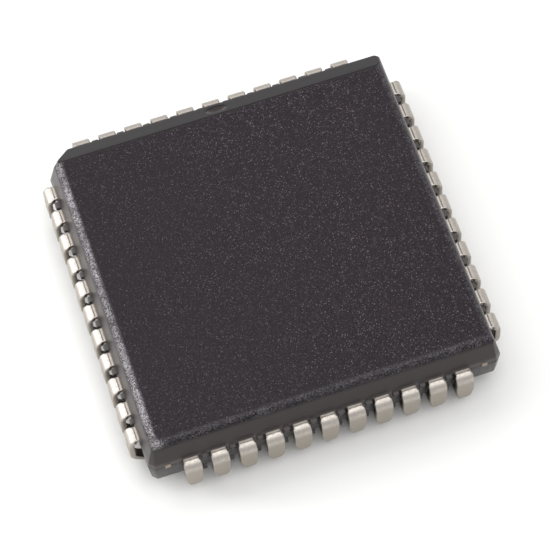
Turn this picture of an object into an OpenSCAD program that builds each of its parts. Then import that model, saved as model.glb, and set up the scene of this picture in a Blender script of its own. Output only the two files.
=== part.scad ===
/* [Package] */
// Leads along each of the four sides
leads_per_side = 11; // [7:2:13]
// Spacing of the leads along a side
pitch = 1.27; // [1.15:0.01:1.4]
// From the middle of the last lead to the corner of the body, at the parting line
corner_run = 1.905; // [1.8:0.005:2.2]
// Height of the parting line above the board
parting_z = 2.55; // [2.3:0.05:2.8]
// Height of the upper mould half, from the parting line to the top face
upper_h = 1.65; // [1.5:0.05:1.9]
// Gap between the board and the middle of the underside
standoff = 0.51; // [0.4:0.01:0.7]

/* [Mould] */
// Draft of the upper walls, degrees
upper_draft = 12; // [8:0.5:14]
// Draft of the lower walls, degrees
lower_draft = 5; // [3:0.5:8]
// Rounding of the top edges
top_edge_r = 0.35; // [0.1:0.05:0.5]
// Leg of the bevel along the pin 1 side
bevel = 0.95; // [0.8:0.01:1]
// Rounding of the two edges of that bevel
bevel_edge_r = 0.2; // [0.05:0.05:0.3]
// Diameter of the index dimple in that bevel, beside pin 1
index_d = 1.06; // [0.8:0.02:1.2]
// Depth of that dimple
index_depth = 0.2; // [0.1:0.02:0.26]
// Leg of the pin 1 corner chamfer, at the parting line
pin1_chamfer = 1.14; // [0.9:0.02:1.3]
// Leg of the other three corner chamfers
corner_chamfer = 0.28; // [0.2:0.02:0.5]
// Thickness of the ribs between the lead tips
rib_w = 0.2; // [0.14:0.02:0.3]
// Draft of the raised middle of the underside, degrees
plateau_draft = 12; // [5:1:20]
// Diameter of the ejector pin marks on the underside
ejector_d = 1.6; // [1:0.1:2.2]
// Depth of those marks
ejector_depth = 0.05; // [0.03:0.01:0.1]
// From the middle of a mark to the edge of the raised middle
ejector_inset = 2; // [1.5:0.1:2.4]
// Width of the resin tabs left between the leads
tab_w = 0.34; // [0.2:0.02:0.44]
// How far those tabs stand out of the wall
tab_run = 0.13; // [0.06:0.01:0.2]

/* [Leads] */
// Thickness of the lead frame
lead_t = 0.25; // [0.2:0.01:0.32]
// Width of a lead where it leaves the body
root_w = 0.7; // [0.6:0.01:0.76]
// Width of the leg, where the dam bar was trimmed and below
leg_w = 0.81; // [0.76:0.01:0.88]
// From the wall to where a lead begins to widen to the leg
leg_start = 0.145; // [0.13:0.005:0.25]
// Length of the slope from the root width to the leg width
leg_slope = 0.1; // [0.05:0.01:0.2]
// Height at which the leg begins to narrow
knee_z = 1.45; // [1.2:0.01:1.8]
// Width of a lead just above the foot
shin_w = 0.64; // [0.56:0.01:0.7]
// Width of the foot that is soldered
foot_w = 0.46; // [0.33:0.01:0.53]
// Height at which a lead begins to narrow to the foot
ankle_z = 0.98; // [0.85:0.01:1.1]
// Height at which the foot has its own width
foot_z = 0.66; // [0.5:0.01:0.8]
// Flat part of a lead between the wall and the bend
shoulder_run = 0.045; // [0.03:0.005:0.12]
// Outer radius of the bend
bend_r = 0.45; // [0.4:0.01:0.5]
// Outer radius of the J
curl_r = 1; // [0.8:0.02:1.1]
// Gap between the tip of the J and the pocket above it
tip_clear_z = 0.18; // [0.1:0.02:0.3]
// Gap between the J and the raised middle of the underside
tip_clear_u = 0.25; // [0.15:0.01:0.4]

/* [Inside] */
// Width of the square die
die_w = 4.6; // [3.6:0.1:4.8]
// Thickness of the die
die_t = 0.35; // [0.25:0.01:0.45]
// Thickness of the die attach layer
attach_t = 0.03; // [0.02:0.005:0.05]
// Rim of the paddle around the die
paddle_rim = 0.9; // [0.6:0.05:1]
// Gap between the paddle and the inner ends of the leads
finger_gap = 0.8; // [0.6:0.05:0.9]
// From the line of a side's inner lead ends to the last of them
finger_corner = 0.9; // [0.85:0.05:1.1]
// Width of the inner end of a lead
finger_tip_w = 0.3; // [0.2:0.02:0.34]
// Straight part of a lead inside the wall
finger_root = 0.6; // [0.4:0.05:0.7]
// Width of the tie bars that carry the paddle
tie_w = 0.25; // [0.16:0.01:0.3]
// From the corner of the body to the middle of a cut tie bar, along the wall
tie_corner = 0.855; // [0.8:0.005:0.9]
// How far a cut tie bar stands out of the wall
tie_proud = 0.02; // [0.01:0.01:0.05]
// Thickness of a bond wire
wire_w = 0.03; // [0.02:0.005:0.04]
// Height of a wire's loop above the die
wire_rise = 0.2; // [0.12:0.01:0.3]
// Level part of a wire's loop
wire_level = 0.4; // [0.3:0.05:0.6]
// From the edge of the die to a wire
pad_inset = 0.14; // [0.1:0.01:0.2]
// From the inner end of a lead to a wire
bond_inset = 0.2; // [0.1:0.01:0.3]
// Spacing of the wires on the die
pad_pitch = 0.34; // [0.25:0.01:0.36]

/* [Hidden] */
$fn = 48;
eps = 0.01;

// Leads are numbered from the middle of the bevelled side, anticlockwise seen from above.
lead_count = 4 * leads_per_side;
half_row = (leads_per_side - 1) / 2;
function lead_name(pin) = str("lead_", pin < 10 ? "0" : "", pin);

body_half = half_row * pitch + corner_run;
top_z = parting_z + upper_h;
lead_top = parting_z + lead_t / 2;
lead_low = parting_z - lead_t / 2;

// Outwards from the middle: bend, outer face, middle of the J, raised middle of the underside
bend_u = body_half + shoulder_run;
outer_u = bend_u + bend_r;
curl_u = outer_u - curl_r;
plateau_half = curl_u - curl_r - tip_clear_u;
skirt_z = curl_r + tip_clear_z;

paddle_half = die_w / 2 + paddle_rim;
finger_u = paddle_half + finger_gap;
finger_pitch = (finger_u - finger_corner) / half_row;
fan_u = body_half - finger_root;
pad_u = die_w / 2 - pad_inset;
bond_u = finger_u + bond_inset;
bond_pitch = finger_pitch + (pitch - finger_pitch) * bond_inset / (fan_u - finger_u);
die_z = lead_top + attach_t;
die_top = die_z + die_t;
tie_x = body_half - tie_corner;
bar_len = 4 * body_half;

// Distance of a drafted wall from the middle, where half is its distance at the parting line
function wall_at(half, z) = z > parting_z
    ? half - (z - parting_z) * tan(upper_draft)
    : half - (parting_z - z) * tan(lower_draft);

// Top edge of the bevel, how far its foot is above the parting line, and its middle
bevel_y = wall_at(body_half, top_z) - bevel;
foot_rise = (bevel_y + upper_h - body_half) / (1 - tan(upper_draft));
foot_y = wall_at(body_half, parting_z + foot_rise);
bevel_mid = [(bevel_y + foot_y) / 2, (top_z + parting_z + foot_rise) / 2];

// Side of the body that a lead is on, counted from the bevelled side, and its place along it
function lead_step(pin) = (pin - 1 + half_row) % lead_count;
function lead_turn(pin) = 90 * floor(lead_step(pin) / leads_per_side);
function lead_place(pin) = half_row - lead_step(pin) % leads_per_side;

function unit(v) = v / norm(v);

// The same outline on the other side of the middle, run the other way round
function mirrored(points) = [for (i = [len(points) - 1:-1:0]) [-points[i][0], points[i][1]]];

// Outline whose corners are rounded: each corner is cut at its tangent points and gets its circle
module soft_outline(points, radii) {
    count = len(points);
    ways = [for (i = [0:count - 1]) [
        unit(points[(i + count - 1) % count] - points[i]),
        unit(points[(i + 1) % count] - points[i])
    ]];
    turns = [for (w = ways) acos(w[0] * w[1]) / 2];
    polygon([for (i = [0:count - 1], side = [0, 1])
        if (radii[i] > 0 || side == 0)
            points[i] + ways[i][side] * radii[i] / tan(turns[i])]);
    for (i = [0:count - 1])
        if (radii[i] > 0)
            translate(points[i] + unit(ways[i][0] + ways[i][1]) * radii[i] / sin(turns[i]))
                circle(r = radii[i]);
}

// Section of distance and height that runs right through the body, square to the given direction
module wall_bar(angle) {
    rotate([0, 0, angle])
        rotate([90, 0, 0])
            linear_extrude(height = bar_len, center = true)
                children();
}

// Section between two drafted walls, with rounded top edges
module wall_section(near_half, far_half) {
    soft_outline([
        [-wall_at(near_half, standoff), standoff],
        [wall_at(far_half, standoff), standoff],
        [far_half, parting_z],
        [wall_at(far_half, top_z), top_z],
        [-wall_at(near_half, top_z), top_z],
        [-near_half, parting_z]
    ], [0, 0, 0, top_edge_r, top_edge_r, 0]);
}

// The same section with the long bevel on its far side
module bevel_section() {
    soft_outline([
        [-wall_at(body_half, standoff), standoff],
        [wall_at(body_half, standoff), standoff],
        [body_half, parting_z],
        [foot_y, parting_z + foot_rise],
        [bevel_y, top_z],
        [-wall_at(body_half, top_z), top_z],
        [-body_half, parting_z]
    ], [0, 0, 0, bevel_edge_r, bevel_edge_r, top_edge_r, 0]);
}

// Outer form down to the standoff: walls, bevel and the four corner chamfers
module mould_form() {
    corner_half = (2 * body_half - corner_chamfer) / sqrt(2);
    pin1_half = (2 * body_half - pin1_chamfer) / sqrt(2);
    intersection() {
        wall_bar(0) wall_section(body_half, body_half);
        wall_bar(90) bevel_section();
        wall_bar(45) wall_section(corner_half, corner_half);
        wall_bar(135) wall_section(corner_half, pin1_half);
    }
}

// Raised middle of the underside
module plateau() {
    spread = (skirt_z - standoff) * tan(plateau_draft);
    intersection_for (angle = [0, 90])
        wall_bar(angle)
            polygon([
                [-plateau_half, standoff],
                [plateau_half, standoff],
                [plateau_half + spread, skirt_z],
                [plateau_half + spread, parting_z],
                [-plateau_half - spread, parting_z],
                [-plateau_half - spread, skirt_z]
            ]);
}

// Ribs that part the lead tips, from the raised middle out to the walls
module ribs() {
    for (turn = [0, 90], gap = [0.5 - half_row:half_row - 0.5])
        rotate([0, 0, turn])
            translate([gap * pitch - rib_w / 2, -body_half, standoff])
                cube([rib_w, 2 * body_half, skirt_z - standoff + eps]);
}

// Round dimple in the middle of the bevel, part of a ball that is sunk in square to it
module index_dimple() {
    ball_r = (index_d * index_d / 4 + index_depth * index_depth) / (2 * index_depth);
    rise = (ball_r - index_depth) / sqrt(2);
    translate([0, bevel_mid[0] + rise, bevel_mid[1] + rise])
        sphere(r = ball_r);
}

module ejector_marks() {
    reach = plateau_half - ejector_inset;
    for (x = [-reach, reach], y = [-reach, reach])
        translate([x, y, standoff - eps])
            cylinder(d = ejector_d, h = ejector_depth + eps);
}

// Resin left between the leads where the dam bar was trimmed
module dam_tabs() {
    for (turn = [0:90:270], gap = [0.5 - half_row:half_row - 0.5])
        rotate([0, 0, turn])
            translate([gap * pitch - tab_w / 2, body_half - tab_run, lead_low])
                cube([tab_w, 2 * tab_run, lead_t]);
}

// The moulding before the parts inside it are cut out
module solid_body() {
    difference() {
        union() {
            intersection() {
                mould_form();
                union() {
                    translate([-bar_len / 2, -bar_len / 2, skirt_z])
                        cube([bar_len, bar_len, top_z]);
                    plateau();
                    ribs();
                }
            }
            dam_tabs();
        }
        index_dimple();
        ejector_marks();
    }
}

// The lead frame is cut out first, then the die on it, then the wires over both
module body() {
    color("#423e41")
        difference() {
            difference() {
                difference() {
                    solid_body();
                    die_paddle();
                    for (pin = [1:lead_count])
                        at_lead(pin) finger(lead_place(pin));
                }
                translate([-die_w / 2, -die_w / 2, lead_top])
                    cube([die_w, die_w, attach_t + die_t]);
            }
            bond_wires();
        }
}

// Puts a lead, drawn pointing towards +Y, at its place
module at_lead(pin) {
    rotate([0, 0, lead_turn(pin)])
        translate([lead_place(pin) * pitch, 0, 0])
            children();
}

// Flat part of a lead, from its inner end beside the paddle out to the bend
module finger(place) {
    tip_x = place * (finger_pitch - pitch);
    translate([0, 0, lead_low])
        linear_extrude(height = lead_t)
            polygon([
                [-root_w / 2, bend_u],
                [-root_w / 2, fan_u],
                [tip_x - finger_tip_w / 2, finger_u],
                [tip_x + finger_tip_w / 2, finger_u],
                [root_w / 2, fan_u],
                [root_w / 2, bend_u]
            ]);
}

// Ring of the lead's thickness
module lead_ring(outer_r) {
    difference() {
        circle(r = outer_r);
        circle(r = outer_r - lead_t);
    }
}

// Side of a formed lead outside the wall: bend, leg and J
module j_section() {
    translate([bend_u, lead_top - bend_r])
        intersection() {
            lead_ring(bend_r);
            square(bend_r);
        }
    translate([outer_u - lead_t, curl_r])
        square([lead_t, lead_top - bend_r - curl_r]);
    translate([curl_u, curl_r])
        intersection() {
            lead_ring(curl_r);
            translate([-curl_r, -curl_r])
                square([2 * curl_r, curl_r]);
        }
}

// Front of a formed lead: leg, shin and narrow foot
module lead_front() {
    right = [
        [foot_w / 2, -eps],
        [foot_w / 2, foot_z],
        [shin_w / 2, ankle_z],
        [leg_w / 2, knee_z],
        [leg_w / 2, lead_top + eps]
    ];
    polygon(concat(right, mirrored(right)));
}

// The same lead from above: narrow at the wall, then as wide as the leg
module lead_above() {
    right = [
        [root_w / 2, curl_u],
        [root_w / 2, body_half + leg_start],
        [leg_w / 2, body_half + leg_start + leg_slope],
        [leg_w / 2, outer_u + eps]
    ];
    polygon(concat(right, mirrored(right)));
}

// Outer part of a lead, cut from its side section by its outlines from the front and from above
module j_lead() {
    intersection() {
        rotate([90, 0, 90])
            linear_extrude(height = leg_w, center = true)
                j_section();
        union() {
            intersection() {
                translate([0, outer_u + eps, 0])
                    rotate([90, 0, 0])
                        linear_extrude(height = curl_r + eps)
                            lead_front();
                linear_extrude(height = top_z)
                    lead_above();
            }
            translate([-foot_w / 2, curl_u - curl_r - eps, -eps])
                cube([foot_w, curl_r + eps, curl_r + 2 * eps]);
        }
    }
}

module lead(pin) {
    color("#c8c4ba")
        at_lead(pin) {
            finger(lead_place(pin));
            j_lead();
        }
}

// Plan of the tie bar at the +X +Y corner: slanting out from the paddle, then straight through the wall
function tie_plan() =
    let (slant = tie_w / sqrt(2), inner_x = tie_x - tie_w / 2, outer_x = tie_x + tie_w / 2) [
        [0, slant],
        [slant, 0],
        [outer_x, outer_x - slant],
        [outer_x, body_half + tie_proud],
        [inner_x, body_half + tie_proud],
        [inner_x, inner_x + slant]
    ];

// Plan of the body at the parting line, let out by the length of a cut tie bar's stub
module parting_plan() {
    reach = body_half + tie_proud;
    cut = pin1_chamfer;
    polygon([
        [-reach, -reach],
        [reach, -reach],
        [reach, reach],
        [cut - reach, reach],
        [-reach, reach - cut]
    ]);
}

module die_paddle() {
    color("#b98a4e")
        translate([0, 0, lead_low])
            linear_extrude(height = lead_t)
                intersection() {
                    union() {
                        square(2 * paddle_half, center = true);
                        for (turn = [0, 180], plan = [tie_plan(), mirrored(tie_plan())])
                            rotate(turn) polygon(plan);
                    }
                    parting_plan();
                }
}

module die_attach() {
    color("#d8d8d4")
        translate([-die_w / 2, -die_w / 2, lead_top])
            cube([die_w, die_w, attach_t]);
}

module die() {
    color("#59606e")
        translate([-die_w / 2, -die_w / 2, die_z])
            cube([die_w, die_w, die_t]);
}

// One wire of even thickness: up from the die, level, then down to the lead
module wire_section(span) {
    crown = die_top + wire_rise;
    fall = crown - lead_top;
    run = span - wire_level;
    slant = wire_w * norm([run, fall]);
    polygon([
        [0, die_top],
        [0, crown],
        [wire_level, crown],
        [span, lead_top],
        [span - slant / fall, lead_top],
        [wire_level + (wire_w * run - slant) / fall, crown - wire_w],
        [wire_w, crown - wire_w],
        [wire_w, die_top]
    ]);
}

module bond_wires() {
    color("#d9b24a")
        for (pin = [1:lead_count]) {
            place = lead_place(pin);
            start = [place * pad_pitch, pad_u];
            reach = [place * bond_pitch, bond_u] - start;
            rotate([0, 0, lead_turn(pin)])
                translate([start[0], start[1], 0])
                    rotate([90, 0, atan2(reach[1], reach[0])])
                        linear_extrude(height = wire_w, center = true)
                            wire_section(norm(reach));
        }
}

body();
die_paddle();
die_attach();
die();
bond_wires();
for (pin = [1:lead_count])
    lead(pin);
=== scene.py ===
import math

import bpy
import numpy as np
from mathutils import Matrix, Vector


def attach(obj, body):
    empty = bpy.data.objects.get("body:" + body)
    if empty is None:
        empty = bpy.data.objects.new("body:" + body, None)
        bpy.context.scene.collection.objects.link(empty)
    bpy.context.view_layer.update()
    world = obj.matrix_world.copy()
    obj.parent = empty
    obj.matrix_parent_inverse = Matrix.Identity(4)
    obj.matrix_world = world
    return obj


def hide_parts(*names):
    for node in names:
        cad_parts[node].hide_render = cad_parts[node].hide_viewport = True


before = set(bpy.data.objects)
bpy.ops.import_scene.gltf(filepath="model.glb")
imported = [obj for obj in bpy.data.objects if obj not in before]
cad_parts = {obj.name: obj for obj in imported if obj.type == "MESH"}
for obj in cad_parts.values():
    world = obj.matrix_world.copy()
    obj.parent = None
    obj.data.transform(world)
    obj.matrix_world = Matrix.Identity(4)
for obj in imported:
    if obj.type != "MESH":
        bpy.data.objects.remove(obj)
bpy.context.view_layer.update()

mm = 0.001  # Blender works in metres, the values below are in millimetres
print("frame loaded:", len(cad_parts), "nodes")


# Meshes

# Puts grids and caps, worked out in millimetres, into one mesh at its own place.
def makePiece(name, shells, material, sharpAngle=35):
    points, faces, count = [], [], 0
    for shellPoints, shellFaces in shells:
        points.append(shellPoints)
        faces += [tuple(i + count for i in face) for face in shellFaces]
        count += len(shellPoints)
    mesh = bpy.data.meshes.new(name)
    mesh.from_pydata(np.concatenate(points) * mm, [], faces)
    mesh.shade_smooth()
    mesh.set_sharp_from_angle(angle=math.radians(sharpAngle))
    mesh.materials.append(material)
    piece = bpy.data.objects.new(name, mesh)
    bpy.context.scene.collection.objects.link(piece)
    return piece


# Rings of points, one row after another, become a closed shell: quads between the rows, a cap at each end.
def closeRings(rings):
    rows, around = rings.shape[:2]
    index = np.arange(rows * around).reshape(rows, around)
    nextIndex = np.roll(index, -1, axis=1)
    quads = np.stack([index[:-1], nextIndex[:-1], nextIndex[1:], index[1:]], axis=-1).reshape(-1, 4)
    faces = [tuple(q) for q in quads.tolist()]
    faces.append(tuple(index[0, ::-1].tolist()))
    faces.append(tuple(index[-1].tolist()))
    return rings.reshape(-1, 3), faces


# A bar is a rounded rectangle carried along a path. Each point of its ring is the path's point, plus the side
# direction times the half width less the edge radius, plus the upward direction times the half thickness
# less that radius, plus the radius along the ring's own angle. The ends shrink by the end radius along a
# quarter circle. Two points more lie across the upper face, and the groove lowers only them.
def sweepBar(path, side, up, halfWidth, halfThick, edgeRadius, endRadius, groove=0.0,
             arcSteps=3, endRows=4, grooveShare=0.78):
    path = np.asarray(path, float)
    side, up = (np.broadcast_to(np.asarray(a, float), path.shape) for a in (side, up))
    halfWidth, halfThick, groove = (
        np.broadcast_to(np.asarray(a, float), len(path)) for a in (halfWidth, halfThick, groove))
    turn = np.linspace(0, math.pi / 2, endRows)
    shrink = endRadius * (1 - np.cos(turn))
    advance = endRadius * (np.sin(turn) - 1)

    def roundEnd(i, outward):
        outward = outward / np.linalg.norm(outward)
        sides, ups = np.tile(side[i], (endRows, 1)), np.tile(up[i], (endRows, 1))
        points = path[i] + outward * advance[:, None]
        return points, sides, ups, halfWidth[i] - shrink, halfThick[i] - shrink, np.zeros(endRows)

    head = roundEnd(0, path[0] - path[1])
    tail = roundEnd(-1, path[-1] - path[-2])
    middle = (path, side, up, halfWidth, halfThick, groove)
    joined = [np.concatenate([h[::-1], m[1:-1], t]) for h, m, t in zip(head, middle, tail)]
    path, side, up, halfWidth, halfThick, groove = joined
    phi = np.concatenate([np.linspace(q, q + 1, arcSteps) * math.pi / 2 for q in range(4)])
    cornerX = np.repeat([1, -1, -1, 1], arcSteps)
    cornerY = np.repeat([1, 1, -1, -1], arcSteps)
    straight = halfWidth[:, None] - edgeRadius
    across = straight * cornerX + edgeRadius * np.cos(phi)
    upward = (halfThick[:, None] - edgeRadius) * cornerY + edgeRadius * np.sin(phi)
    innerAcross = straight * [grooveShare, -grooveShare]
    innerUpward = np.repeat((halfThick - groove)[:, None], 2, 1)
    across = np.concatenate([across[:, :arcSteps], innerAcross, across[:, arcSteps:]], 1)
    upward = np.concatenate([upward[:, :arcSteps], innerUpward, upward[:, arcSteps:]], 1)
    rings = path[:, None] + across[..., None] * side[:, None] + upward[..., None] * up[:, None]
    return closeRings(rings)


# Turns points about the vertical axis by quarter turns, anticlockwise seen from above.
def quarterTurn(points, turns):
    c, s = [(1, 0), (0, 1), (-1, 0), (0, -1)][turns % 4]
    x, y, z = np.moveaxis(points, -1, 0)
    return np.stack([c * x - s * y, s * x + c * y, z], axis=-1)


# Nodes

# sRGB hex code to linear colour
def linear(code):
    raw = [int(code[i:i + 2], 16) / 255 for i in (1, 3, 5)]
    return tuple(c / 12.92 if c <= 0.04045 else ((c + 0.055) / 1.055) ** 2.4 for c in raw) + (1.0,)


# Texture scale for a pattern of the given size in millimetres, on coordinates in metres
def perSize(size):
    return 1 / (size * mm)


def addNode(tree, kind, settings=None, links=None):
    node = tree.nodes.new(kind)
    for name, value in (settings or {}).items():
        if isinstance(name, str) and hasattr(node, name):
            setattr(node, name, value)
        else:
            node.inputs[name].default_value = value
    for name, socket in (links or {}).items():
        tree.links.new(socket, node.inputs[name])
    return node


def startMaterial(name):
    material = bpy.data.materials.new(name)
    material.use_nodes = True
    tree = material.node_tree
    tree.nodes.clear()
    shader = addNode(tree, "ShaderNodeBsdfPrincipled")
    addNode(tree, "ShaderNodeOutputMaterial", links={"Surface": shader.outputs["BSDF"]})
    place = addNode(tree, "ShaderNodeTexCoord").outputs["Object"]
    return material, tree, shader, place


# Body form: how far each side reaches at each height

package = dict(
    leadsPerSide=11, pitch=1.27, cornerRun=1.905,
    partingZ=2.55, topZ=4.20, standoff=0.51, skirtZ=1.18,
)
halfRow = (package["leadsPerSide"] - 1) / 2
bodyHalf = halfRow * package["pitch"] + package["cornerRun"]

bodyForm = dict(
    upperDraft=12, lowerDraft=5, topEdgeR=0.5, bevel=0.95, bevelEdgeR=0.2,
    pin1Chamfer=1.14, cornerChamfer=0.28, leastChamfer=0.1, uprightEdgeR=0.09,
    skirtEdgeR=0.05, skirtRows=4, arcRows=12, bevelRows=5, cornerSteps=5,
)


# Distance of a plain wall from the middle at each height: half width less the draft, then along the top
# edge's circle, whose middle lies its radius below the top and the same radius in from the wall.
def wallReach(z, half):
    f = bodyForm
    slope = math.radians(f["upperDraft"])
    below = math.tan(math.radians(f["lowerDraft"]))
    r = f["topEdgeR"]
    zc = package["topZ"] - r
    xc = half - (r + (zc - package["partingZ"]) * math.sin(slope)) / math.cos(slope)
    straight = half - np.where(z > package["partingZ"], math.tan(slope), -below) * (z - package["partingZ"])
    arc = xc + np.sqrt(np.maximum(r * r - (z - zc) ** 2, 0))
    return np.where(z > zc + r * math.sin(slope), arc, straight)


# On the 45 degree bevel, distance and height add up to one total. The circles of its two edges touch it,
# the wall and the top, so their middles lie on a line that is their radius further in.
def bevelLine():
    f = bodyForm
    slope = math.radians(f["upperDraft"])
    top, parting, r = package["topZ"], package["partingZ"], f["bevelEdgeR"]
    total = bodyHalf - (top - parting) * math.tan(slope) - f["bevel"] + top
    inner = total - math.sqrt(2) * r
    lowC = (bodyHalf - inner) * math.cos(slope) - r + parting * math.sin(slope)
    lowC /= math.sin(slope) - math.cos(slope)
    return total, inner, lowC, top - r


bevelTotal, bevelInner, bevelLowC, bevelHighC = bevelLine()


# Distance of the bevelled wall: the drafted wall, a circle into the bevel, the bevel, a circle into the top.
def bevelReach(z):
    r = bodyForm["bevelEdgeR"]
    slope = math.radians(bodyForm["upperDraft"])
    reach = wallReach(np.minimum(z, bevelLowC), bodyHalf)
    lowArc, highArc = (
        bevelInner - c + np.sqrt(np.maximum(r * r - (z - c) ** 2, 0)) for c in (bevelLowC, bevelHighC))
    reach = np.where(z > bevelLowC + r * math.sin(slope), lowArc, reach)
    reach = np.where(z > bevelLowC + r * math.sqrt(0.5), bevelTotal - z, reach)
    return np.where(z > bevelHighC + r * math.sqrt(0.5), highArc, reach)


# Reach of the eight sides at each height: right, back right corner, back, pin 1 corner, left, and so on.
def bodyReach(z):
    f = bodyForm
    plain = wallReach(z, bodyHalf)
    cornerHalf = (2 * bodyHalf - f["cornerChamfer"]) / math.sqrt(2)
    pin1Half = (2 * bodyHalf - f["pin1Chamfer"]) / math.sqrt(2)
    walls = [plain, bevelReach(z), plain, plain]
    sides = []
    for i, half in enumerate([cornerHalf, pin1Half, cornerHalf, cornerHalf]):
        meet = (walls[i] + walls[(i + 1) % 4] - f["leastChamfer"]) / math.sqrt(2)
        sides += [walls[i], np.minimum(wallReach(z, half), meet)]
    return np.stack(sides, -1)


# Materials

# Black epoxy mould compound, transfer moulded. The top and its rounded edge have the sparkling grain of a
# spark-eroded mould, in many faint tints. The walls and the bevel come from smoother steel, with a soft
# sheen. The real grain is finer, and is drawn at 0.05 mm so that it shows. The lower half is painted paler,
# as painted light from the floor. Heights in the bands count from the top for the pale wear and painted
# highlight on the rounded edge, and from the parting line for the painted light over the tabs and the wall's
# foot.
mouldLook = dict(
    # The lower half's colour is painted light from the floor. The pale grey of the rounded top edge is wear
    # and, mostly on the left, a painted highlight. The colour just above the parting line is painted light
    # between the leads.
    base="#0b080b", dust="#060406", wall="#2c2726", lower="#241f1e", paleWearAndHighlight="#979397", trimmed="#4d4948",
    tints=("#796b81", "#7d6a75", "#6e6b7b", "#796e6f"),
    ior=1.325, sheen="#fbf0f7", grainRoughness=0.24, wallRoughness=0.3, bevelRoughness=0.58,
    grain=0.05, mottle=0.9, mottleRange=(0.35, 0.65), cloud=5.0, cloudRange=(0.3, 0.7),
    # below the parting line the lower half is painted paler, as painted light from the floor
    grainFrom=-0.33, grainTo=-0.2, lowerTo=-0.02, bevelFrom=-0.1, bevelTo=-0.03,
    dense=0.15, densePower=1.9, bright=0.7, brightPower=14.0, speckRim=0.75, speckCore=0.1,
    # specks show more towards the right and the back: a painted highlight of the grain's glints, mixed with
    # random patches
    calm=0.45, lively=1.5, paintedGlintWay=(1.0, 0.35, 0.0), paintedGlintReach=7.0, livelyCloud=0.4,
    # the pale band on the rounded top edge: wear, and on the left a painted highlight, weaker to the front
    # and the right
    wornBand=(-0.001, -0.035, -0.11, -0.45), wornLeast=0.5, wornMuch=1.35, wornPower=1.2,
    wornFront=0.2, wornRight=0.17, wornHalf=7.6, wornRun=0.3,
    # the band just above the parting line is painted light between the leads
    paintedGapLightBand=(0.05, 0.11, 0.13, 0.35),
    grainDepth=0.01, wallDepth=0.0015,
)


# Where each finish of the moulding lies: the grain, the bevel, and all that is below the parting line
def mouldMasks(tree, axes):
    look = mouldLook
    # on the bevel, distance back and height add up to one total
    upAndBack = addNode(tree, "ShaderNodeMath", {"operation": "ADD"}, {
        0: axes.outputs["Y"], 1: axes.outputs["Z"],
    }).outputs[0]
    bevelMask = addNode(tree, "ShaderNodeMapRange", {
        "From Min": (bevelTotal + look["bevelFrom"]) * mm, "From Max": (bevelTotal + look["bevelTo"]) * mm,
    }, {"Value": upAndBack}).outputs["Result"]
    upperMask = addNode(tree, "ShaderNodeMapRange", {
        "interpolation_type": "SMOOTHSTEP",
        "From Min": (package["topZ"] + look["grainFrom"]) * mm,
        "From Max": (package["topZ"] + look["grainTo"]) * mm,
    }, {"Value": axes.outputs["Z"]}).outputs["Result"]
    lowerMask = addNode(tree, "ShaderNodeMapRange", {
        "From Min": package["partingZ"] * mm, "From Max": (package["partingZ"] + look["lowerTo"]) * mm,
    }, {"Value": axes.outputs["Z"]}).outputs["Result"]
    eitherMask = addNode(tree, "ShaderNodeMath", {"operation": "MAXIMUM"}, {
        0: upperMask, 1: lowerMask,
    }).outputs[0]
    grainMask = addNode(tree, "ShaderNodeMath", {"operation": "SUBTRACT", "use_clamp": True}, {
        0: eitherMask, 1: bevelMask,
    }).outputs[0]
    return grainMask, bevelMask, lowerMask


# Share of a band: it rises from the first height to the second, and falls from the third to the fourth.
def heightBand(tree, height, level, heights):
    first, second, third, fourth = ((level + h) * mm for h in heights)
    rise, fall = (addNode(tree, "ShaderNodeMapRange", {
        "From Min": start, "From Max": end,
    }, {"Value": height}).outputs["Result"] for start, end in ((first, second), (fourth, third)))
    return addNode(tree, "ShaderNodeMath", {"operation": "MULTIPLY"}, {0: rise, 1: fall}).outputs[0]


# How much of its tint a grain cell shows: many cells a little and a few much, less towards the cell's rim.
# The specks come in calm and in lively patches, and show more towards the right and the back, where the
# grain's glints are a painted highlight.
def speckShare(tree, place, cells, chance, cloudMask, grainMask):
    look = mouldLook
    dense, bright = (addNode(tree, "ShaderNodeMath", {
        "operation": "POWER", 1: look[power],
    }, {0: chance}).outputs[0] for power in ("densePower", "brightPower"))
    brightPart = addNode(tree, "ShaderNodeMath", {
        "operation": "MULTIPLY", 1: look["bright"],
    }, {0: bright}).outputs[0]
    share = addNode(tree, "ShaderNodeMath", {
        "operation": "MULTIPLY_ADD", 1: look["dense"],
    }, {0: dense, 2: brightPart}).outputs[0]
    core = addNode(tree, "ShaderNodeMapRange", {
        "From Min": look["speckRim"], "From Max": look["speckCore"],
    }, {"Value": cells.outputs["Distance"]}).outputs["Result"]
    paintedGlintAlong = addNode(tree, "ShaderNodeVectorMath", {
        "operation": "DOT_PRODUCT", 1: look["paintedGlintWay"],
    }, {0: place}).outputs["Value"]
    across = addNode(tree, "ShaderNodeMapRange", {
        "From Min": -look["paintedGlintReach"] * mm, "From Max": look["paintedGlintReach"] * mm,
    }, {"Value": paintedGlintAlong}).outputs["Result"]
    paintedGlintAndPatch = addNode(tree, "ShaderNodeMix", {
        "Factor": look["livelyCloud"],
    }, {"A": across, "B": cloudMask}).outputs["Result"]
    patch = addNode(tree, "ShaderNodeMapRange", {
        "To Min": look["calm"], "To Max": look["lively"],
    }, {"Value": paintedGlintAndPatch}).outputs["Result"]
    for factor in (core, patch, grainMask):
        share = addNode(tree, "ShaderNodeMath", {"operation": "MULTIPLY"}, {0: share, 1: factor}).outputs[0]
    return share


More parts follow.
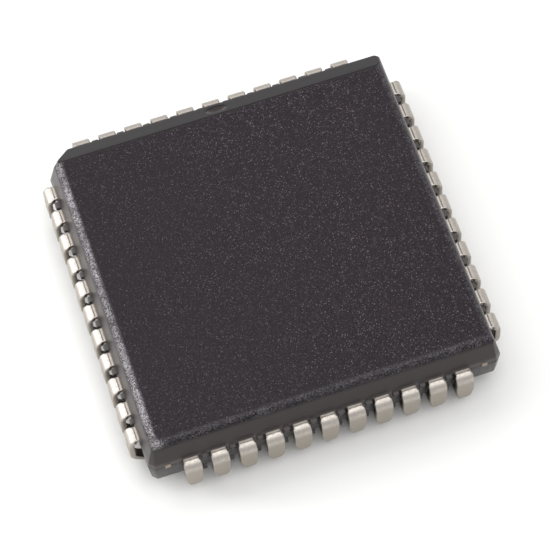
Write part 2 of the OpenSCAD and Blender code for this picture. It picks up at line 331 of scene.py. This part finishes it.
# Handling wears the rounded top edge pale, in specks and in patches. Most of it, on the left, is a painted
# highlight where the light falls on the edge, so the share is most on the left and least on the right.
def wearAndPaintedHighlightShare(tree, axes, chance, mottle, grainMask):
    look = mouldLook
    half, run = look["wornHalf"], look["wornRun"]
    band = heightBand(tree, axes.outputs["Z"], package["topZ"], look["wornBand"])
    patch = addNode(tree, "ShaderNodeMapRange", {
        "From Min": look["mottleRange"][0], "From Max": look["mottleRange"][1],
        "To Min": look["wornLeast"], "To Max": look["wornMuch"],
    }, {"Value": mottle}).outputs["Result"]
    left = addNode(tree, "ShaderNodeMapRange", {
        "From Min": -half * mm, "From Max": (run - half) * mm, "To Min": 1.0, "To Max": look["wornFront"],
    }, {"Value": axes.outputs["X"]}).outputs["Result"]
    side = addNode(tree, "ShaderNodeMapRange", {
        "From Min": (half - run) * mm, "From Max": half * mm, "To Max": look["wornRight"],
    }, {"Value": axes.outputs["X"], "To Min": left}).outputs["Result"]
    share = addNode(tree, "ShaderNodeMath", {
        "operation": "POWER", 1: look["wornPower"],
    }, {0: chance}).outputs[0]
    for factor in (patch, side, band, grainMask):
        share = addNode(tree, "ShaderNodeMath", {"operation": "MULTIPLY"}, {0: share, 1: factor}).outputs[0]
    return share


def mouldCompound():
    look = mouldLook
    material, tree, shader, place = startMaterial("blackEpoxyMouldCompound")
    axes = addNode(tree, "ShaderNodeSeparateXYZ", links={0: place})
    grainMask, bevelMask, lowerMask = mouldMasks(tree, axes)
    # each grain cell has random numbers of its own: for its tint, how much of it shows, and its pale wear and
    # painted highlight
    cells = addNode(tree, "ShaderNodeTexVoronoi", {"Scale": perSize(look["grain"])}, {"Vector": place})
    random = addNode(tree, "ShaderNodeSeparateColor", links={"Color": cells.outputs["Color"]})
    tint = addNode(tree, "ShaderNodeValToRGB", links={"Fac": random.outputs["Red"]})
    for i, code in enumerate(look["tints"]):
        stop = tint.color_ramp.elements[i] if i < 2 else tint.color_ramp.elements.new(1.0)
        stop.position = i / (len(look["tints"]) - 1)
        stop.color = linear(code)
    mottle = addNode(tree, "ShaderNodeTexNoise", {
        "Scale": perSize(look["mottle"]), "Detail": 4.0, "Roughness": 0.65,
    }, {"Vector": place}).outputs["Fac"]
    cloud = addNode(tree, "ShaderNodeTexNoise", {
        "Scale": perSize(look["cloud"]), "Detail": 2.0,
    }, {"Vector": place}).outputs["Fac"]
    cloudMask = addNode(tree, "ShaderNodeMapRange", {
        "From Min": look["cloudRange"][0], "From Max": look["cloudRange"][1],
    }, {"Value": cloud}).outputs["Result"]
    # plain resin first, then the walls, then the lower half, painted paler as painted light from the floor
    patched = addNode(tree, "ShaderNodeMix", {
        "data_type": "RGBA", "A": linear(look["base"]), "B": linear(look["dust"]),
    }, {"Factor": cloudMask}).outputs["Result"]
    notWall = addNode(tree, "ShaderNodeMath", {"operation": "MAXIMUM"}, {
        0: grainMask, 1: bevelMask,
    }).outputs[0]
    walls = addNode(tree, "ShaderNodeMix", {
        "data_type": "RGBA", "A": linear(look["wall"]),
    }, {"Factor": notWall, "B": patched}).outputs["Result"]
    lowerHalfPaintedLight = addNode(tree, "ShaderNodeMix", {
        "data_type": "RGBA", "B": linear(look["lower"]),
    }, {"Factor": lowerMask, "A": walls}).outputs["Result"]
    # the tops of the tabs and the wall's foot between the leads are painted paler, as painted light reflected
    # into the gaps
    paintedGapLightShare = heightBand(tree, axes.outputs["Z"], package["partingZ"], look["paintedGapLightBand"])
    trimmed = addNode(tree, "ShaderNodeMix", {
        "data_type": "RGBA", "B": linear(look["trimmed"]),
    }, {"Factor": paintedGapLightShare, "A": lowerHalfPaintedLight}).outputs["Result"]
    specks = speckShare(tree, place, cells, random.outputs["Green"], cloudMask, grainMask)
    grainy = addNode(tree, "ShaderNodeMix", {"data_type": "RGBA"}, {
        "Factor": specks, "A": trimmed, "B": tint.outputs["Color"],
    }).outputs["Result"]
    # pale wear on the rounded top edge, with a painted highlight strongest on the left
    edgeWearAndHighlight = wearAndPaintedHighlightShare(tree, axes, random.outputs["Blue"], mottle, grainMask)
    colour = addNode(tree, "ShaderNodeMix", {
        "data_type": "RGBA", "B": linear(look["paleWearAndHighlight"]),
    }, {"Factor": edgeWearAndHighlight, "A": grainy}).outputs["Result"]
    wallRough = addNode(tree, "ShaderNodeMapRange", {
        "To Min": look["wallRoughness"], "To Max": look["bevelRoughness"],
    }, {"Value": bevelMask}).outputs["Result"]
    roughness = addNode(tree, "ShaderNodeMapRange", {
        "To Max": look["grainRoughness"],
    }, {"Value": grainMask, "To Min": wallRough}).outputs["Result"]
    # relief: the cells stand as small cones on the top, and a long faint wave runs over the walls
    grainHigh = addNode(tree, "ShaderNodeMath", {"operation": "MULTIPLY"}, {
        0: cells.outputs["Distance"], 1: grainMask,
    }).outputs[0]
    relief = addNode(tree, "ShaderNodeMath", {
        "operation": "MULTIPLY_ADD", 1: look["wallDepth"] / look["grainDepth"],
    }, {0: mottle, 2: grainHigh}).outputs[0]
    bump = addNode(tree, "ShaderNodeBump", {
        "Strength": 1.0, "Distance": look["grainDepth"] * mm,
    }, {"Height": relief}).outputs["Normal"]
    shader.inputs["IOR"].default_value = look["ior"]
    shader.inputs["Specular Tint"].default_value = linear(look["sheen"])
    tree.links.new(colour, shader.inputs["Base Color"])
    tree.links.new(roughness, shader.inputs["Roughness"])
    tree.links.new(bump, shader.inputs["Normal"])
    return material


# Matte tin plate over stamped copper alloy: a pale, faintly warm metal with a fine mottle. The real crystals
# are far finer, and the mottle is drawn coarser to show. The lower bends and the legs are painted darker, as
# painted shade.
tinLook = dict(
    pale="#bab4ad", dull="#afa9a2", leg="#a69f95", legFrom=2.42, legTo=2.1,
    mottle=0.12, fine=0.03, mottleRange=(0.35, 0.65), roughMin=0.42, roughMax=0.5,
    relief=0.0008, reliefStrength=0.6,
)


def tinPlate():
    look = tinLook
    material, tree, shader, place = startMaterial("matteTinPlate")
    mottle = addNode(tree, "ShaderNodeTexNoise", {
        "Scale": perSize(look["mottle"]), "Detail": 4.0, "Roughness": 0.6,
    }, {"Vector": place}).outputs["Fac"]
    fine = addNode(tree, "ShaderNodeTexNoise", {
        "Scale": perSize(look["fine"]), "Detail": 2.0,
    }, {"Vector": place}).outputs["Fac"]
    spread = addNode(tree, "ShaderNodeMapRange", {
        "From Min": look["mottleRange"][0], "From Max": look["mottleRange"][1],
    }, {"Value": mottle}).outputs["Result"]
    mottled = addNode(tree, "ShaderNodeMix", {
        "data_type": "RGBA", "A": linear(look["pale"]), "B": linear(look["dull"]),
    }, {"Factor": spread}).outputs["Result"]
    height = addNode(tree, "ShaderNodeSeparateXYZ", links={0: place}).outputs["Z"]
    # the lower bends and the legs are painted darker, as painted shade
    legMask = addNode(tree, "ShaderNodeMapRange", {
        "From Min": look["legFrom"] * mm, "From Max": look["legTo"] * mm,
    }, {"Value": height}).outputs["Result"]
    colour = addNode(tree, "ShaderNodeMix", {
        "data_type": "RGBA", "B": linear(look["leg"]),
    }, {"Factor": legMask, "A": mottled}).outputs["Result"]
    roughness = addNode(tree, "ShaderNodeMapRange", {
        "To Min": look["roughMin"], "To Max": look["roughMax"],
    }, {"Value": spread}).outputs["Result"]
    relief = addNode(tree, "ShaderNodeMath", {"operation": "ADD"}, {0: mottle, 1: fine}).outputs[0]
    bump = addNode(tree, "ShaderNodeBump", {
        "Strength": look["reliefStrength"], "Distance": look["relief"] * mm,
    }, {"Height": relief}).outputs["Normal"]
    shader.inputs["Metallic"].default_value = 1.0
    tree.links.new(colour, shader.inputs["Base Color"])
    tree.links.new(roughness, shader.inputs["Roughness"])
    tree.links.new(bump, shader.inputs["Normal"])
    return material


# Stamped copper alloy is dull and warm, cured silver epoxy grey and grainy, polished silicon dark and glossy,
# and drawn gold bright yellow. Each has its name, two close colours, the size of its mottle in millimetres,
# how metallic it is, and the range of its roughness.
insideLooks = dict(
    die_paddle=("stampedCopperAlloy", "#a4978a", "#8b7e6f", 0.08, 1.0, 0.4, 0.55),
    die_attach=("curedSilverEpoxy", "#b9b8b2", "#94938d", 0.05, 0.0, 0.5, 0.65),
    die=("polishedSilicon", "#4d5462", "#3a404c", 0.3, 0.6, 0.08, 0.16),
    bond_wires=("drawnGoldWire", "#e2b750", "#c9983a", 0.02, 1.0, 0.18, 0.28),
)


# The pieces inside share one build: the two colours are mixed by a noise, which also wavers the roughness.
def insideMaterial(name, first, second, size, metallic, roughMin, roughMax):
    material, tree, shader, place = startMaterial(name)
    noise = addNode(tree, "ShaderNodeTexNoise", {
        "Scale": perSize(size), "Detail": 3.0,
    }, {"Vector": place}).outputs["Fac"]
    colour = addNode(tree, "ShaderNodeMix", {
        "data_type": "RGBA", "A": linear(first), "B": linear(second),
    }, {"Factor": noise}).outputs["Result"]
    roughness = addNode(tree, "ShaderNodeMapRange", {
        "To Min": roughMin, "To Max": roughMax,
    }, {"Value": noise}).outputs["Result"]
    shader.inputs["Metallic"].default_value = metallic
    tree.links.new(colour, shader.inputs["Base Color"])
    tree.links.new(roughness, shader.inputs["Roughness"])
    return material


mouldMaterial = mouldCompound()
tinMaterial = tinPlate()
for nodeName, values in insideLooks.items():
    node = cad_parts[nodeName]
    node.data.materials.clear()
    node.data.materials.append(insideMaterial(*values))
print("materials made")


# Body: one moulding

indexForm = dict(wide=1.06, deep=0.2, soft=0.025, patch=0.62, rise=0.7, steps=50, sunkShare=0.65)
bevelFootZ = package["partingZ"] + (bevelTotal - package["partingZ"] - bodyHalf) / (
    1 - math.tan(math.radians(bodyForm["upperDraft"])))
bevelMidZ = (package["topZ"] + bevelFootZ) / 2


# Rings round the body at the given heights. Eight sides lie 45 degrees apart, each square to its own
# direction. A corner's points are the crossing of two sides moved in by the edge radius, plus that radius
# along every direction between the two. The bevelled side has a row of close points more, for the dimple.
def bodyRings(z, reach):
    edgeR, steps = bodyForm["uprightEdgeR"], bodyForm["cornerSteps"]
    angles = np.arange(8) * math.pi / 4
    near = reach - edgeR
    along = (np.roll(near, -1, axis=1) - near * math.cos(math.pi / 4)) / math.sin(math.pi / 4)
    normal = np.stack([np.cos(angles), np.sin(angles)], -1)
    tangent = np.stack([-np.sin(angles), np.cos(angles)], -1)
    corner = near[..., None] * normal + along[..., None] * tangent
    phi = angles[:, None] + np.linspace(0, math.pi / 4, steps)
    arc = edgeR * np.stack([np.cos(phi), np.sin(phi)], -1)
    outline = (corner[:, :, None] + arc).reshape(len(z), -1, 2)
    across = np.linspace(indexForm["patch"], -indexForm["patch"], indexForm["steps"])
    close = np.stack(np.broadcast_arrays(across, reach[:, 2:3]), -1)
    plan = np.concatenate([outline[:, :2 * steps], close, outline[:, 2 * steps:]], 1)
    return np.concatenate([plan, np.broadcast_to(z[:, None, None], plan.shape[:2] + (1,))], -1)


# The dimple is part of a ball, sunk in square to the bevel. A point goes in by the root of the ball's radius
# squared less its distance from the dimple's middle squared, less the height of the ball's own middle.
def sinkDimple(points):
    f = indexForm
    ball = (f["wide"] ** 2 / 4 + f["deep"] ** 2) / (2 * f["deep"])
    midY = bevelTotal - bevelMidZ
    down = (points[..., 1] - midY - points[..., 2] + bevelMidZ) / math.sqrt(2)
    away = np.hypot(points[..., 0], down)
    depth = np.sqrt(np.maximum(ball ** 2 - away ** 2, 0)) - ball + f["deep"]
    depth = (depth + np.sqrt(depth ** 2 + f["soft"] ** 2)) / 2  # softens the rim
    onBevel = (away < f["wide"] * f["sunkShare"]) & (points[..., 1] > 0)
    points[..., 1:] -= (np.where(onBevel, depth, 0) / math.sqrt(2))[..., None]
    return points


# Walls and top: rings at every height where a wall bends, and close ones across the dimple
def bodyShell():
    f = bodyForm
    top, parting, skirt = package["topZ"], package["partingZ"], package["skirtZ"]
    r, b, e = f["topEdgeR"], f["bevelEdgeR"], f["skirtEdgeR"]
    lowTurn = np.linspace(math.radians(f["upperDraft"]), math.pi / 4, f["bevelRows"])
    highTurn = np.linspace(math.pi / 4, math.pi / 2, f["bevelRows"])
    heights = np.unique(np.round(np.concatenate([
        [skirt + e, parting],
        bevelLowC + b * np.sin(lowTurn),
        bevelMidZ + np.linspace(-1, 1, indexForm["steps"]) * indexForm["rise"] * indexForm["patch"],
        top - r + r * np.sin(np.linspace(0, math.pi / 2, f["arcRows"])),
        top - b + b * np.sin(highTurn),
    ]), 6))
    walls = sinkDimple(bodyRings(heights, bodyReach(heights)))
    # the skirt's lower edge is rounded too
    turn = np.linspace(0, math.pi / 2, f["skirtRows"])[:0:-1]
    edge = bodyReach(np.full(len(turn), skirt + e)) - (e * (1 - np.cos(turn)))[:, None]
    return closeRings(np.concatenate([bodyRings(skirt + e * (1 - np.sin(turn)), edge), walls]))


plateauForm = dict(
    half=6.5, draft=12, edge=0.05, sunk=0.1,
    markInset=2, markWide=1.6, markDeep=0.05, markEdge=0.08, markSpan=0.62, markSteps=26,
)


# Raised middle of the underside: a grid that is level but for four round ejector marks, where it lies higher
# by their depth. Its rim is carried up in squares along the drafted sides, into the moulding.
def plateauShell():
    f = plateauForm
    low, high = package["standoff"], package["skirtZ"] + f["sunk"]
    mark = f["half"] - f["markInset"]
    fine = np.linspace(-1, 1, f["markSteps"]) * f["markSpan"] * f["markWide"]
    inner = f["half"] - f["edge"]
    line = np.unique(np.round(np.concatenate([[-inner, 0, inner], fine - mark, fine + mark]), 6))
    x, y = np.meshgrid(line, line, indexing="ij")
    away = np.hypot(np.abs(x) - mark, np.abs(y) - mark)
    lift = f["markDeep"] * np.clip((f["markWide"] / 2 - away) / f["markEdge"] + 0.5, 0, 1)
    grid = np.stack([x, y, low + lift], -1)
    n = len(line)
    index = np.arange(n * n).reshape(n, n)
    quads = np.stack([index[:-1, :-1], index[:-1, 1:], index[1:, 1:], index[1:, :-1]], -1)
    quads = quads.reshape(-1, 4).tolist()
    rim = np.concatenate([index[0, :-1], index[:-1, -1], index[-1, :0:-1], index[:0:-1, 0]])
    rimPoints = grid.reshape(-1, 3)[rim]
    slope = math.tan(math.radians(f["draft"]))
    points = [grid.reshape(-1, 3)]
    lower, upper = rim, n * n + np.arange(len(rim))
    for z in (low + f["edge"], high):
        grow = (f["half"] + (z - low) * slope) / inner
        points.append(rimPoints * (grow, grow, 0) + (0, 0, z))
        quads += np.stack([np.roll(lower, -1), lower, upper, np.roll(upper, -1)], -1).tolist()
        lower, upper = upper, upper + len(rim)
    return np.concatenate(points), [tuple(q) for q in quads] + [tuple(lower[::-1].tolist())]


gapPlaces = np.arange(0.5 - halfRow, halfRow) * package["pitch"]  # middles of the gaps along one side
ribForm = dict(width=0.2, edgeR=0.03, sunk=0.1)


# Ribs between the lead tips: bars from the raised middle to the wall, whose draft their outer ends follow
def ribShells():
    f = ribForm
    low, high = package["standoff"], package["skirtZ"] + f["edgeR"]
    mid, halfHigh = (low + high) / 2, (high - low) / 2
    reach = float(wallReach(np.array([mid]), bodyHalf)[0])
    lean = math.tan(math.radians(bodyForm["lowerDraft"]))
    inner = plateauForm["half"] - f["sunk"]
    shells = []
    for turns in range(4):
        for gap in gapPlaces:
            path = [[gap, inner, mid], [gap, reach, mid]]
            points, faces = sweepBar(
                path, (-1, 0, 0), (0, 0, 1), f["width"] / 2, halfHigh, f["edgeR"], f["edgeR"])
            points[:, 1] += np.where(points[:, 1] > plateauForm["half"], (points[:, 2] - mid) * lean, 0)
            shells.append((quarterTurn(points, turns), faces))
    return shells


# Trimming leaves the tabs uneven: a share of their run and width is the same for all, and more is added by
# waves that count the tabs of a side and the sides.
tabForm = dict(
    width=0.34, run=0.13, thick=0.25, edgeR=0.05, root=0.2,
    runLeast=0.9, runMore=0.4, widthLeast=0.85, widthMore=0.2, sizeWave=(7.3, 11.1),
    wander=0.03, wanderWave=(5.1, 3.7),
)


# Tabs of resin where the dam bar was trimmed: short bars at the parting line
def tabShells():
    f = tabForm
    shells = []
    for turns in range(4):
        for i, gap in enumerate(gapPlaces):
            uneven = 0.5 + 0.5 * math.sin(f["sizeWave"][0] * i + f["sizeWave"][1] * turns)
            x = gap + f["wander"] * math.sin(f["wanderWave"][0] * i + f["wanderWave"][1] * turns)
            tip = bodyHalf + f["run"] * (f["runLeast"] + f["runMore"] * uneven)
            half = f["width"] / 2 * (f["widthLeast"] + f["widthMore"] * uneven)
            path = [[x, bodyHalf - f["root"], package["partingZ"]], [x, tip, package["partingZ"]]]
            points, faces = sweepBar(
                path, (-1, 0, 0), (0, 0, 1), half, f["thick"] / 2, f["edgeR"], f["edgeR"])
            shells.append((quarterTurn(points, turns), faces))
    return shells


body = makePiece("mouldedBody", [bodyShell(), plateauShell()] + ribShells() + tabShells(), mouldMaterial)
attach(body, "root")
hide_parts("body")
print("body made:", len(body.data.vertices), "points")


# Leads: one formed strip for each pin

leadForm = dict(
    thick=0.25, rootWidth=0.70, legWidth=0.81, legStart=0.145, legSlope=0.10, kneeZ=1.45,
    shinWidth=0.64, ankleZ=0.98, footWidth=0.46, footZ=0.66, shoulderRun=0.045, bendR=0.45, curlR=1.0,
    fingerU=4.0, fingerPitch=0.62, fingerWidth=0.30, fingerRoot=0.6, wallInside=0.05,
    edgeR=0.045, endR=0.03, bendSteps=14, legSteps=12, curlSteps=26, sharpAngle=40,
    creaseDeep=0.05, creaseWidth=0.03, creaseTurn=86, bendStart=82,
)


# Middle line of a lead as distance out, height and the angle that its outer face looks to, from the inner end
# to the J's tip: straight, a quarter circle, straight down, and a half circle back under the body. The last
# value marks the point of the crease.
def leadLine():
    f = leadForm
    half = f["thick"] / 2
    bendU = bodyHalf + f["shoulderRun"]
    outerU = bendU + f["bendR"]
    bendZ = package["partingZ"] + half - f["bendR"]
    bendMid, curlMid = f["bendR"] - half, f["curlR"] - half
    flat = np.array([
        f["fingerU"], bodyHalf - f["fingerRoot"], bodyHalf - f["wallInside"],
        bendU - f["creaseWidth"], bendU])
    bend = np.concatenate([[f["creaseTurn"]], np.linspace(f["bendStart"], 0, f["bendSteps"])])
    legZ = np.linspace(bendZ, f["curlR"], f["legSteps"])[1:]
    curl = np.linspace(0, -180, f["curlSteps"])[1:]
    angle = np.radians(np.concatenate([np.full(len(flat), 90), bend, np.zeros(len(legZ)), curl]))
    bend, curl = np.radians(bend), np.radians(curl)
    u = np.concatenate([
        flat, bendU + bendMid * np.cos(bend), np.full(len(legZ), outerU - half),
        outerU - f["curlR"] + curlMid * np.cos(curl)])
    z = np.concatenate([
        np.full(len(flat), package["partingZ"]), bendZ + bendMid * np.sin(bend), legZ,
        f["curlR"] + curlMid * np.sin(curl)])
    return u, z, angle, np.arange(len(u)) == len(flat)


# Half width along the lead, by its outer face: the finger, the root, the leg, the shin and the foot
def leadHalfWidth(u, z, angle):
    f = leadForm
    outU = u + f["thick"] / 2 * np.cos(angle)
    outZ = z + f["thick"] / 2 * np.sin(angle)
    widen = bodyHalf + f["legStart"]
    byReach = np.interp(
        outU, [f["fingerU"], bodyHalf - f["fingerRoot"], widen, widen + f["legSlope"]],
        [f["fingerWidth"], f["rootWidth"], f["rootWidth"], f["legWidth"]])
    byHeight = np.interp(
        outZ, [f["footZ"], f["ankleZ"], f["kneeZ"]], [f["footWidth"], f["shinWidth"], f["legWidth"]])
    width = np.where(angle >= 0, np.minimum(byReach, byHeight), byHeight)
    return np.where(angle < -math.pi / 2, f["footWidth"], width) / 2


leadU, leadZ, leadAngle, atCrease = leadLine()
leadWidths = leadHalfWidth(leadU, leadZ, leadAngle)


# Inside the body the leads fan in: their distance from the side's middle shrinks from the pitch to that of
# the fingers.
def leadShell(place, turns):
    f = leadForm
    fanU = bodyHalf - f["fingerRoot"]
    fan = np.where(leadAngle > 0, np.clip((fanU - leadU) / (fanU - f["fingerU"]), 0, 1), 0)
    x = place * (package["pitch"] + fan * (f["fingerPitch"] - package["pitch"]))
    up = np.stack([np.zeros_like(leadU), np.cos(leadAngle), np.sin(leadAngle)], -1)
    # the forming tool leaves a shallow groove across the strip where the bend begins
    groove = np.where(atCrease, f["creaseDeep"], 0)
    path = np.stack([x, leadU, leadZ], -1)
    points, faces = sweepBar(
        path, (-1, 0, 0), up, leadWidths, f["thick"] / 2, f["edgeR"], f["endR"], groove)
    return quarterTurn(points, turns), faces


# Pins run anticlockwise from the middle of the bevelled side.
leadCount = 4 * package["leadsPerSide"]
for pin in range(1, leadCount + 1):
    step = int(pin - 1 + halfRow) % leadCount
    turns, along = divmod(step, package["leadsPerSide"])
    shell = leadShell(halfRow - along, turns)
    lead = makePiece(f"tinLead{pin:02d}", [shell], tinMaterial, leadForm["sharpAngle"])
    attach(lead, "root")
    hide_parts(f"lead_{pin:02d}")
print("leads made:", leadCount)


# Stage: a pale floor under the feet

stageForm = dict(size=900, colour="#e9e9e8", roughMin=0.85, roughMax=0.9, dapple=30, mirror=0.1)


# Matte paper: pale and even, with hardly any shine
def paleFloor():
    f = stageForm
    material, tree, shader, place = startMaterial("palePaperFloor")
    noise = addNode(tree, "ShaderNodeTexNoise", {"Scale": perSize(f["dapple"])}, {"Vector": place})
    roughness = addNode(tree, "ShaderNodeMapRange", {
        "To Min": f["roughMin"], "To Max": f["roughMax"],
    }, {"Value": noise.outputs["Fac"]}).outputs["Result"]
    shader.inputs["Base Color"].default_value = linear(f["colour"])
    shader.inputs["Specular IOR Level"].default_value = f["mirror"]
    tree.links.new(roughness, shader.inputs["Roughness"])
    return material


floorCorners = np.array([[-1, -1, 0], [1, -1, 0], [1, 1, 0], [-1, 1, 0]]) * stageForm["size"] / 2 * mm
floorMesh = bpy.data.meshes.new("floor")
floorMesh.from_pydata(floorCorners.tolist(), [], [(0, 1, 2, 3)])
floorMesh.materials.append(paleFloor())
floor = bpy.data.objects.new("floor", floorMesh)
bpy.context.scene.collection.objects.link(floor)


# Light: an even bright room, a soft box above the near side, a tall strip low on the left with a panel over
# it, and weaker panels at the back and on the right

lightForm = dict(
    room="#ffffff", roomStrength=0.72,
    boxes=dict(
        keyLight=dict(place=(-115, 54, 48), size=(30, 75), power=0.08, colour="#ffffff"),
        panelLight=dict(place=(-105, 86, 190), size=(110, 110), power=0.11, colour="#ffffff"),
        overLight=dict(place=(28, -60, 240), size=(150, 190), power=0.245, colour="#ffffff"),
        backLight=dict(place=(25, 140, 180), size=(170, 180), power=0.1, colour="#ffffff"),
        fillLight=dict(place=(150, 95, 140), size=(120, 120), power=0.03, colour="#ffffff"),
    ),
)


def softBox(name, place, size, power, colour):
    lamp = bpy.data.lights.new(name, "AREA")
    lamp.shape = "RECTANGLE"
    lamp.size, lamp.size_y = size[0] * mm, size[1] * mm
    lamp.energy = power
    lamp.color = linear(colour)[:3]
    box = bpy.data.objects.new(name, lamp)
    bpy.context.scene.collection.objects.link(box)
    box.location = Vector(place) * mm
    box.rotation_euler = (-box.location).to_track_quat("-Z", "Y").to_euler()


for boxName, box in lightForm["boxes"].items():
    softBox(boxName, **box)
world = bpy.data.worlds.new("brightRoom")
world.use_nodes = True
roomNode = world.node_tree.nodes["Background"]
roomNode.inputs["Color"].default_value = linear(lightForm["room"])
roomNode.inputs["Strength"].default_value = lightForm["roomStrength"]
bpy.context.scene.world = world
bpy.context.scene.view_settings.view_transform = "Standard"


# Camera: above the near side, a little to its left, with a long lens

cameraForm = dict(
    target=(0.055, -0.744, 2.1), azimuth=-14.894, elevation=64.037, distance=127.967, roll=4.0155,
    lens=184.103, sensor=36, clipStart=10, clipEnd=10000,
)


# The camera stands on a sphere round its target. Its up direction is the steepest one, turned by the roll.
def placeCamera():
    f = cameraForm
    a, e, roll = (math.radians(f[k]) for k in ("azimuth", "elevation", "roll"))
    back = Vector((math.cos(e) * math.sin(a), -math.cos(e) * math.cos(a), math.sin(e)))
    right = Vector((0, 0, 1)).cross(back).normalized()
    up = back.cross(right)
    turnedRight = right * math.cos(roll) - up * math.sin(roll)
    turnedUp = up * math.cos(roll) + right * math.sin(roll)
    lensData = bpy.data.cameras.new("camera")
    lensData.lens = f["lens"]
    lensData.sensor_width = f["sensor"]
    lensData.clip_start = f["clipStart"] * mm
    lensData.clip_end = f["clipEnd"] * mm
    camera = bpy.data.objects.new("camera", lensData)
    bpy.context.scene.collection.objects.link(camera)
    spot = (Vector(f["target"]) + back * f["distance"]) * mm
    turn = Matrix((turnedRight, turnedUp, back)).transposed().to_4x4()
    camera.matrix_world = Matrix.Translation(spot) @ turn
    bpy.context.scene.camera = camera


placeCamera()
print("stage, light and camera made")
